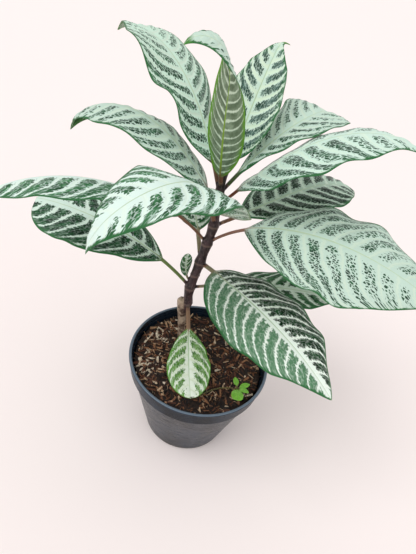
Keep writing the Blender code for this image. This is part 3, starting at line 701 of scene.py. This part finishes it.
def makeLeaf(order, name, values):
    leaf, spine = grownLeaf(values)
    start = (leaf["seat"] - form["overlap"]) / leaf["length"]
    count = max(30, round(leaf["length"] * (1 - start) / form["along"]))
    rows = [start + (1 - start) * i / count for i in range(count)]
    mesh = leafPiece("leaf_" + name + "_blade", leaf, spine, rows)
    spacing = (leaf["length"] - leaf["stalk"]) / leaf["veins"] * 1000
    common = {"Spacing": spacing, "Seed": order * 7.3}
    top = leafMaterial(name + "Upper", {**looks[leaf["look"]], **common, **leaf["marks"]})
    below = leafMaterial(name + "Under", {**under, **common, **leaf["underMarks"]})
    piece = addObject("leaf_" + name + "_blade", mesh, [top, below])
    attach(piece, "root")
    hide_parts("leaf_" + name)


for order, (leafName, leafValues) in enumerate(leaves.items()):
    makeLeaf(order, leafName, leafValues)
print("sixteen leaves made")


# Stem: tubes along the middle lines and the stubs of the leaf stalks, grown together by a fine remesh
def smoothLine(marks, steps):  # a curve through (x, z, radius) marks
    line = []
    for i in range(len(marks) - 1):
        near = [Vector(marks[min(max(i + k, 0), len(marks) - 1)]) for k in (-1, 0, 1, 2)]
        for j in range(steps):
            t = j / steps
            line.append(0.5 * (2 * near[1] + (near[2] - near[0]) * t
                               + (2 * near[0] - 5 * near[1] + 4 * near[2] - near[3]) * t * t
                               + (3 * near[1] - near[0] - 3 * near[2] + near[3]) * t ** 3))
    return line + [Vector(marks[-1])]


def tubeRings(line, sides):  # line has (point, radius) pairs
    rings = []
    for i, (point, radius) in enumerate(line):
        along = (line[min(i + 1, len(line) - 1)][0] - line[max(i - 1, 0)][0]).normalized()
        across = Vector((0, 1, 0)).cross(along)
        across = across.normalized() if across.length > 0.01 else Vector((1, 0, 0))
        other = along.cross(across)
        spots = [onCircle(radius, k, sides) for k in range(sides)]
        rings.append([point + across * x + other * y for x, y in spots])
    return rings


def joinSkins(name, skins):
    points, faces = [], []
    for skinPoints, skinFaces in skins:
        faces += [tuple(i + len(points) for i in face) for face in skinFaces]
        points += skinPoints
    return closedMesh(name, points, faces)


def frozen(piece):  # the piece with its modifiers applied, as a plain mesh
    bpy.context.view_layer.update()
    mesh = bpy.data.meshes.new_from_object(piece.evaluated_get(bpy.context.evaluated_depsgraph_get()))
    piece.modifiers.clear()
    piece.data = mesh
    return mesh


def lineGap(point, line):  # distance to a (x, z, radius) line, less its radius
    near = [mark for mark in line if abs(mark.y - point.z) < stem["nearby"]]
    return min([(point - Vector((m.x, stem["y"], m.y))).length - m.z for m in near], default=1.0)


def stubRings(values):
    leaf, spine = grownLeaf(values)
    rings, count = [], stem["stubRows"]
    for i in range(count + 1):
        swell = stem["stubSwell"] * (stem["stubFoot"] - i / count)
        row = leafRow(leaf, spine, leaf["seat"] / leaf["length"] * i / count, swell)
        rings.append([entry[0] for entry in row[::3]] + [entry[1] for entry in reversed(row[::3])])
    return rings


# the grey streak colour is partly the bark's own streaking and partly a painted sheen on the dark shoot
bark = dict(old=((84, 64, 54), (190, 170, 148)), shoot=((28, 18, 21), (68, 48, 51)), streakAndSheen=(168, 154, 146),
            scar=(150, 126, 112), stub=((120, 80, 66), (150, 122, 96)), rough=(0.28, 0.62),
            bump=(0.7, 0.0006), gloss=0.35)


def barkMaterial():
    material, shader = newMaterial("stemBark")
    spot = objectSpot()
    old, scar, stub = split(readOut("stemPlace"))
    patches = cloud(spot, 160, 4.0, 0.6)
    streaks = cloud(drawnOut(spot, 0.35), 900, 3.0, 0.6)
    trunk = tint(step(patches, 0.40, 0.62), *bark["old"])
    shoot = tint(step(patches, 0.35, 0.65), *bark["shoot"])
    colour = tint(old, shoot, trunk)
    # grey streaks: partly bark streaking, partly painted sheen
    colour = tint(times(step(streaks, 0.5, 0.75), 0.25), colour, bark["streakAndSheen"])
    colour = tint(times(scar, 0.35), colour, bark["scar"])
    colour = tint(stub, colour, tint(patches, *bark["stub"]))
    coat(shader, colour, blend(streaks, *bark["rough"]), plus(streaks, patches), bark["bump"], bark["gloss"])
    return material


def makeStem():
    skins = []
    for marks in (stem["shoot"], stem["trunk"]):
        line = [(Vector((m.x, stem["y"], m.y)), m.z) for m in smoothLine(marks, stem["steps"])]
        skins.append(ringed(tubeRings(line, stem["sides"])))
    skins += [ringed(stubRings(values)) for values in leaves.values()]
    piece = addObject("stem_bark", joinSkins("stem_bark", skins))
    remesh = piece.modifiers.new("grown", "REMESH")
    remesh.mode = "VOXEL"
    remesh.voxel_size = stem["voxel"]
    soften = piece.modifiers.new("soften", "SMOOTH")
    soften.iterations = stem["soften"]
    mesh = frozen(piece)
    values = []
    trunkLine, shootLine = (smoothLine(stem[part], stem["gapSteps"]) for part in ("trunk", "shoot"))
    placed = [(vertex.co.copy(), vertex.normal.copy()) for vertex in mesh.vertices]
    for vertex, (point, normal) in zip(mesh.vertices, placed):
        toTrunk, toShoot = lineGap(point, trunkLine), lineGap(point, shootLine)
        old = ease(toShoot - toTrunk, -stem["join"], stem["join"])
        stalkish = ease(min(toTrunk, toShoot), stem["stalkFrom"], stem["stalkFull"])
        ring = max(math.exp(-((point.z - height) / stem["scarHigh"]) ** 2) for height in stem["scars"])
        ring = ring * (1 - stalkish)
        rough = noise.noise(point * Vector(stem["grain"]))
        rise = stem["barkRough"] * rough * (1 - stalkish) * (stem["shootRough"] + old)
        vertex.co = point + normal * (stem["scarSwell"] * ring + rise)
        values += [old, ring, stalkish]
    writeIn(mesh, "stemPlace", values)
    mesh.shade_smooth()
    mesh.materials.append(barkMaterial())
    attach(piece, "root")
    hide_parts("stem")


makeStem()
print("stem made")

# Pot: a turned cup with a rolled lip, a collar band, a step and drain holes
pot = dict(height=0.112, rim=0.075, collar=0.0728, collarDepth=0.018, body=0.0700, base=0.048,
           wall=0.0013, lip=0.0016, foot=0.003, step=0.0012, sides=144, lipSteps=14, holes=6, hole=0.004,
           ring=0.036, drillSides=28)


def innerRadius(height):
    shoulder = pot["height"] - pot["collarDepth"]
    if height >= shoulder:
        return pot["body"] - pot["wall"]
    share = max(0.0, height - pot["foot"]) / (shoulder - pot["foot"])
    return between(pot["base"], pot["body"], share) - pot["wall"]


def turned(name, profile, sides):  # both ends of the profile are on the axis
    rings = profile[1:-1]
    points = [Vector((*onCircle(r, k, sides), z)) for r, z in rings for k in range(sides)]
    faces = bands(len(rings) - 1, sides)
    for row, (_, z) in ((0, profile[0]), (len(rings) - 1, profile[-1])):
        points.append(Vector((0, 0, z)))
        faces += [(row * sides + k, row * sides + (k + 1) % sides, len(points) - 1) for k in range(sides)]
    return closedMesh(name, points, faces)


def arc(centre, radius, start, stop, count):
    angles = [math.radians(start + (stop - start) * i / count) for i in range(count + 1)]
    return [(centre[0] + radius * math.cos(a), centre[1] + radius * math.sin(a)) for a in angles]


# the second base colour is a lighter blue: partly water marks on the plastic, partly a painted sheen
plastic = dict(base=((6, 13, 21), (26, 40, 55)), scuff=(78, 92, 106), dust=(112, 108, 92),
               # lip is a painted highlight: a lighter blue-grey line along the top of the rim
               lip=(112, 128, 144), rough=(0.22, 0.42), bump=(0.18, 0.0005), gloss=0.26)


def plasticMaterial():
    material, shader = newMaterial("potPlastic")
    spot = objectSpot()
    z = split(spot)[2]
    cloudy = cloud(spot, 28, 4.0, 0.6)
    scuffs = cloud(drawnOut(spot, 6.0), 90, 5.0, 0.7)
    # cloudy patches of lighter blue: partly water marks, partly painted sheen
    colour = tint(step(cloudy, 0.3, 0.7), *plastic["base"])
    colour = tint(times(step(scuffs, 0.60, 0.72), 0.35), colour, plastic["scuff"])
    low = plus(z, times(cloudy, 0.02))
    colour = tint(times(step(low, 0.021, 0.007), 0.22), colour, plastic["dust"])
    # painted highlight: the top of the lip is tinted lighter blue-grey, where light catches the rim
    lip = step(z, pot["height"] - 0.0012, pot["height"] - 0.0003)
    colour = tint(times(lip, 0.8), colour, plastic["lip"])
    grain = plus(scuffs, cloud(spot, 600, 2.0))
    coat(shader, colour, blend(step(scuffs, 0.35, 0.7), *plastic["rough"]), grain, plastic["bump"],
         plastic["gloss"])
    return material


def makePot():
    foot, wall, body, collar, bead = (pot[part] for part in ("foot", "wall", "body", "collar", "lip"))
    shoulder, lip = pot["height"] - pot["collarDepth"], pot["height"] - bead
    ledge, underLedge = collar - pot["step"] / 2, shoulder - pot["step"]
    # edges are broken by fractions of a millimetre
    outside = [(0, 0), (pot["base"] * 0.5, 0)] + arc((pot["base"] - foot, foot), foot, -90, 0, 6)
    outside += [(body - 0.0002, underLedge - 0.0004), (body, underLedge), (ledge, shoulder - 0.0002),
                (ledge + 0.0002, shoulder), (collar, lip - bead - 0.0002)]
    rolled = arc((pot["rim"] - bead, lip), bead, -60, 150, pot["lipSteps"])
    inside = [(collar - wall, lip - bead), (body - wall, shoulder + 0.0004),
              (body - wall - 0.0003, shoulder - 0.0006), (innerRadius(foot), foot),
              (innerRadius(foot) - wall, wall), (0, wall)]
    piece = addObject("pot_cup", turned("pot_cup", outside + rolled + inside, pot["sides"]))
    drills = []
    for k in range(pot["holes"]):
        x, y = onCircle(pot["ring"], k, pot["holes"])
        line = [(Vector((x, y, z)), pot["hole"]) for z in (-pot["foot"], pot["foot"])]
        drills.append(ringed(tubeRings(line, pot["drillSides"])))
    drill = addObject("drill", joinSkins("drill", drills))
    cut = piece.modifiers.new("drain", "BOOLEAN")
    cut.operation = "DIFFERENCE"
    cut.solver = "EXACT"
    cut.object = drill
    mesh = frozen(piece)
    bpy.data.objects.remove(drill)
    smoothed(mesh, 35)
    mesh.materials.clear()
    mesh.materials.append(plasticMaterial())
    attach(piece, "root")
    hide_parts("pot")


makePot()
print("pot made")

# Soil: a rough filled body, with chips of bark and coir fibres grown over its top
soil = dict(top=0.1015, mound=0.0025, gap=0.0004, rough=0.0016, rings=46, sides=144, bare=2,
            skirt=0.004, lift=0.0003, lumps=((1, 90), (0.6, 230), (0.35, 600)),
            chips=dict(Density=105000.0, Length=0.0072, Width=0.0010, Tilt=0.6, Crook=0.0012, Bends=420.0,
                       Seed=4),
            fibres=dict(Density=32000.0, Length=0.0095, Width=0.0002, Tilt=0.5, Crook=0.0040, Bends=190.0,
                        Seed=9),
            chipRamp=((0.0, (12, 7, 6)), (0.36, (38, 21, 15)), (0.62, (104, 58, 36)), (0.80, (166, 116, 80)),
                      (0.93, (222, 190, 154)), (1.0, (240, 224, 200))),
            fibreRamp=((0.0, (50, 28, 20)), (0.5, (132, 80, 48)), (0.85, (194, 136, 88)),
                       (1.0, (236, 206, 168))),
            crumbs=((16, 10, 8), (58, 39, 29)), damp=(40, 26, 18), shade=(34, 22, 16),
            mixRough=(0.75, 0.95), mixBump=(0.8, 0.001), shredRough=(0.6, 0.9), shredBump=(0.5, 0.0004),
            paleFrom=-0.010, paleFull=-0.035, leftPaler=0.22)


def soilHeight(x, y):
    spot = Vector((x, y, 0.3))
    lumps = sum(share * noise.noise(spot * scale) for share, scale in soil["lumps"])
    fall = math.cos(math.pi / 2 * math.hypot(x, y) / innerRadius(soil["top"]))
    return soil["top"] + soil["mound"] * fall + soil["rough"] * lumps


def randomVector(seed, smallest, largest):
    inputs = {"Seed": seed, "Min": place(*smallest), "Max": place(*largest)}
    return addNode("FunctionNodeRandomValue", inputs, data_type="FLOAT_VECTOR").outputs["Value"]


def growTree(name, sizes, isFibre):
    geometry = {"Geometry": "Geometry"}
    tree, given, gives = newGroup(name, "GeometryNodeTree", {**geometry, **sizes, "Material": "Material"},
                                  geometry)
    width, length, tilt, seed = (given[label] for label in ("Width", "Length", "Tilt", "Seed"))
    scatter = addNode("GeometryNodeDistributePointsOnFaces",
                      {"Mesh": given["Geometry"], "Density": given["Density"], "Seed": seed})
    if isFibre:
        line = addNode("GeometryNodeCurvePrimitiveLine", {"Start": (0.0, 0.0, -0.5), "End": (0.0, 0.0, 0.5)})
        shape = addNode("GeometryNodeResampleCurve", {"Curve": line.outputs[0], "Count": 7})
        smallest, largest = (1.0, 1.0, times(length, 0.4)), (1.0, 1.0, times(length, 1.9))
    else:
        shape = addNode("GeometryNodeMeshCylinder",
                        {"Vertices": 5, "Side Segments": 3, "Radius": 1.0, "Depth": 1.0})
        smallest = (times(width, 0.3), times(width, 0.2), times(length, 0.3))
        largest = (times(width, 1.5), times(width, 0.7), times(length, 2.2))
    # each lies nearly flat: a quarter turn over, give or take the tilt
    over, about = 1.5708, 3.1416
    turn = randomVector(seed, (minus(over, tilt), times(tilt, -1.0), -about), (plus(over, tilt), tilt, about))
    size = randomVector(plus(seed, 1.0), smallest, largest)
    spread = addNode("GeometryNodeInstanceOnPoints", {"Points": scatter.outputs["Points"],
                     "Instance": shape.outputs[0], "Rotation": turn, "Scale": size}).outputs[0]
    shade = addNode("FunctionNodeRandomValue", {"Seed": plus(seed, 2.0)}).outputs[1]
    named = addNode("GeometryNodeStoreNamedAttribute", {"Geometry": spread, "Name": "grain", "Value": shade},
                    domain="INSTANCE").outputs[0]
    real = addNode("GeometryNodeRealizeInstances", {0: named}).outputs[0]
    # crooked, by a slow noise
    bend = addNode("ShaderNodeTexNoise", {"Vector": addNode("GeometryNodeInputPosition").outputs[0],
                                          "Scale": given["Bends"], "Detail": 1.0}).outputs[1]
    centred = vectorCalc("SUBTRACT", {0: bend, 1: (0.5, 0.5, 0.5)})
    moved = vectorCalc("SCALE", {0: centred, "Scale": given["Crook"]})
    real = addNode("GeometryNodeSetPosition", {"Geometry": real, "Offset": moved}).outputs[0]
    if isFibre:
        profile = addNode("GeometryNodeCurvePrimitiveCircle", {"Resolution": 3, "Radius": width}).outputs[0]
        real = addNode("GeometryNodeCurveToMesh",
                       {"Curve": real, "Profile Curve": profile, "Fill Caps": True}).outputs[0]
    dressed = addNode("GeometryNodeSetMaterial", {"Geometry": real, "Material": given["Material"]})
    feed(gives["Geometry"], dressed.outputs[0])
    return tree


def grown(name, base, sizes, isFibre, material):
    tree = growTree(name, sizes, isFibre)
    piece = addObject(name, base.copy())
    grow = piece.modifiers.new(name, "NODES")
    grow.node_group = tree
    values = {**sizes, "Material": material}
    for item in tree.interface.items_tree:
        if item.in_out == "INPUT" and item.name in values:
            grow[item.identifier] = values[item.name]
    frozen(piece)
    return piece


def mixMaterial():
    material, shader = newMaterial("potSoil")
    spot = objectSpot()
    crumbs, damp = cloud(spot, 420, 4.0, 0.7), cloud(spot, 30, 3.0)
    colour = tint(step(crumbs, 0.35, 0.7), *soil["crumbs"])
    colour = tint(times(step(damp, 0.45, 0.6), 0.5), colour, soil["damp"])
    coat(shader, colour, blend(damp, *soil["mixRough"]), crumbs, soil["mixBump"])
    return material


def shredMaterial(name, ramp):
    material, shader = newMaterial(name)
    spot = objectSpot()
    drift = plus(split(spot)[0], times(cloud(spot, 60, 3.0), 0.04))
    paler = times(step(drift, soil["paleFrom"], soil["paleFull"]), soil["leftPaler"])  # paler towards the left
    colours = addNode("ShaderNodeValToRGB", {"Fac": plus(readOut("grain", "Fac"), paler)})
    band = colours.color_ramp
    while len(band.elements) < len(ramp):
        band.elements.new(0.5)
    for element, (where, colour) in zip(band.elements, ramp):
        element.position = where
        element.color = screen(colour)
    streaks = cloud(spot, 900, 3.0, 0.6)
    dark = times(step(streaks, 0.6, 0.4), 0.45)
    colour = tint(dark, colours.outputs[0], soil["shade"])
    coat(shader, colour, blend(streaks, *soil["shredRough"]), streaks, soil["shredBump"])
    return material


def makeSoil():
    count, rings, edge = soil["sides"], soil["rings"], innerRadius(soil["top"]) - soil["gap"]
    spots = [onCircle(edge * (i + 1) / rings, k, count) for i in range(rings) for k in range(count)]
    points = [Vector((x, y, soilHeight(x, y))) for x, y in spots]
    faces = bands(rings - 1, count)
    grows = rings - soil["bare"]  # nothing grows over the outermost rings
    inner = closedMesh("soil_inner", points[:grows * count], bands(grows - 1, count))
    centre, above = len(points), len(points) - count
    points.append(Vector((0, 0, soilHeight(0, 0))))
    faces += [(k, (k + 1) % count, centre) for k in range(count)]
    foot = innerRadius(pot["foot"])
    for radius, height in ((edge, soil["top"] - soil["skirt"]), (edge, pot["height"] - pot["collarDepth"]),
                           (foot - soil["gap"], pot["foot"]),
                           (foot - pot["wall"] - soil["gap"], pot["wall"] + soil["lift"])):
        below = len(points)
        points += [Vector((*onCircle(radius, k, count), height)) for k in range(count)]
        faces += [(above + k, above + (k + 1) % count, below + (k + 1) % count, below + k)
                  for k in range(count)]
        above = below
    faces.append(tuple(range(above, above + count)))
    body = addObject("soil_mix", smoothed(closedMesh("soil_mix", points, faces), 60), [mixMaterial()])
    chips = grown("soilChips", inner, soil["chips"], False, shredMaterial("barkChips", soil["chipRamp"]))
    fibres = grown("coirFibres", inner, soil["fibres"], True, shredMaterial("coirFibres", soil["fibreRamp"]))
    joinInto(body, [chips, fibres])
    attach(body, "root")
    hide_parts("soil")


makeSoil()
print("soil made")

# Seedling: a runner over the soil, a round leaf and three pointed ones, as (heading, length, width, shape)
seedling = dict(root=(0.0450, -0.0300), runnerRoot=(0.0090, -0.0470), height=0.1075, radius=0.0006,
                rise=0.001, bow=0.004, uneven=0.0004, rootRadius=0.0009, rootTop=0.1095, depth=0.008,
                leaves=((-88, 0.0190, 0.0125, (0.6, 0.4)), (25, 0.0150, 0.0060, (0.6, 0.8)),
                        (112, 0.0130, 0.0060, (0.6, 0.8)), (-28, 0.0150, 0.0062, (0.6, 0.8))),
                plain=dict(stalk=0.004, stout=0.35, point=0.0, waves=(1, 0.0, 0.0, 0.0), veins=5,
                           quilt=0.00015),
                rootSteps=6, rootTaper=0.05, rootSides=12, sinkSteps=4, runSteps=24, runSides=10, rows=26,
                kinks=1.7, swell=0.15, swells=2.3, pitch=(50, 5, -5), lower=8,
                blade=((78, 148, 30), (140, 204, 70)), vein=(168, 214, 110), stalk=(96, 92, 48),
                rough=(0.3, 0.5), bump=(0.4, 0.0003))


def sproutMaterial():
    material, shader = newMaterial("sproutGreen")
    x, b, _ = split(readOut("bladePlace"))
    number = split(readOut("veinPlace"))[0]
    spot = objectSpot()
    veins = step(calc("PINGPONG", number, 0.5), 0.10, 0.02)
    midrib = step(calc("ABSOLUTE", x), 0.35, 0.1)
    lines = calc("MAXIMUM", times(veins, 0.35), midrib)
    colour = tint(cloud(spot, 300, 3.0), *seedling["blade"])
    colour = tint(times(lines, 0.6), colour, seedling["vein"])
    colour = tint(step(b, 0.0, -0.2), colour, seedling["stalk"])
    rough = blend(cloud(spot, 500), *seedling["rough"])
    coat(shader, colour, rough, minus(1.0, lines), seedling["bump"])
    return material


def makeSeedling():
    root, start = Vector((*seedling["root"], 0)), Vector((*seedling["runnerRoot"], 0))
    bottom = soil["top"] - seedling["depth"]
    rootSteps, sinkSteps, runSteps = (seedling[part] for part in ("rootSteps", "sinkSteps", "runSteps"))
    stub = [(root + Vector((0, 0, bottom + (seedling["rootTop"] - bottom) * i / rootSteps)),
             seedling["rootRadius"] * (1 - seedling["rootTaper"] * i)) for i in range(rootSteps + 1)]
    line = [(start + Vector((0, 0, bottom + (soil["top"] - bottom) * i / sinkSteps)), seedling["radius"])
            for i in range(sinkSteps)]
    for i in range(runSteps + 1):
        bow = math.sin(math.pi * i / runSteps)
        kink = seedling["uneven"] * math.sin(i * seedling["kinks"])
        point = start.lerp(root, i / runSteps)
        point.z = seedling["height"] + seedling["rise"] * bow + kink
        point.y += seedling["bow"] * bow
        line.append((point, seedling["radius"] * (1 + seedling["swell"] * math.sin(i * seedling["swells"]))))
    skins = [ringed(tubeRings(stub, seedling["rootSides"])), ringed(tubeRings(line, seedling["runSides"]))]
    stalks = joinSkins("seedling_sprout", skins)
    for label in ("bladePlace", "veinPlace"):
        writeIn(stalks, label, [0.0, -1.0, 0.0] * len(stalks.vertices))
    piece, leaflets = addObject("seedling_sprout", stalks), []
    rows = [i / seedling["rows"] for i in range(seedling["rows"])]
    foot, middle, tip = seedling["pitch"]
    for k, (heading, length, width, shape) in enumerate(seedling["leaves"]):
        leaf = {**plainLeaf, **seedling["plain"], "heading": heading, "length": length, "width": width,
                "pitch": (foot, middle + seedling["lower"] * k, tip), "shape": shape}
        spine = leafSpine(leaf, Vector((*seedling["root"], seedling["height"])))
        leaflets.append(addObject("leaflet", leafPiece("leaflet", leaf, spine, rows)))
    joinInto(piece, leaflets)
    mesh = piece.data
    mesh.materials.clear()
    mesh.materials.append(sproutMaterial())
    mesh.polygons.foreach_set("material_index", [0] * len(mesh.polygons))
    smoothed(mesh)
    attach(piece, "root")
    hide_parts("seedling")


makeSeedling()
print("seedling made")
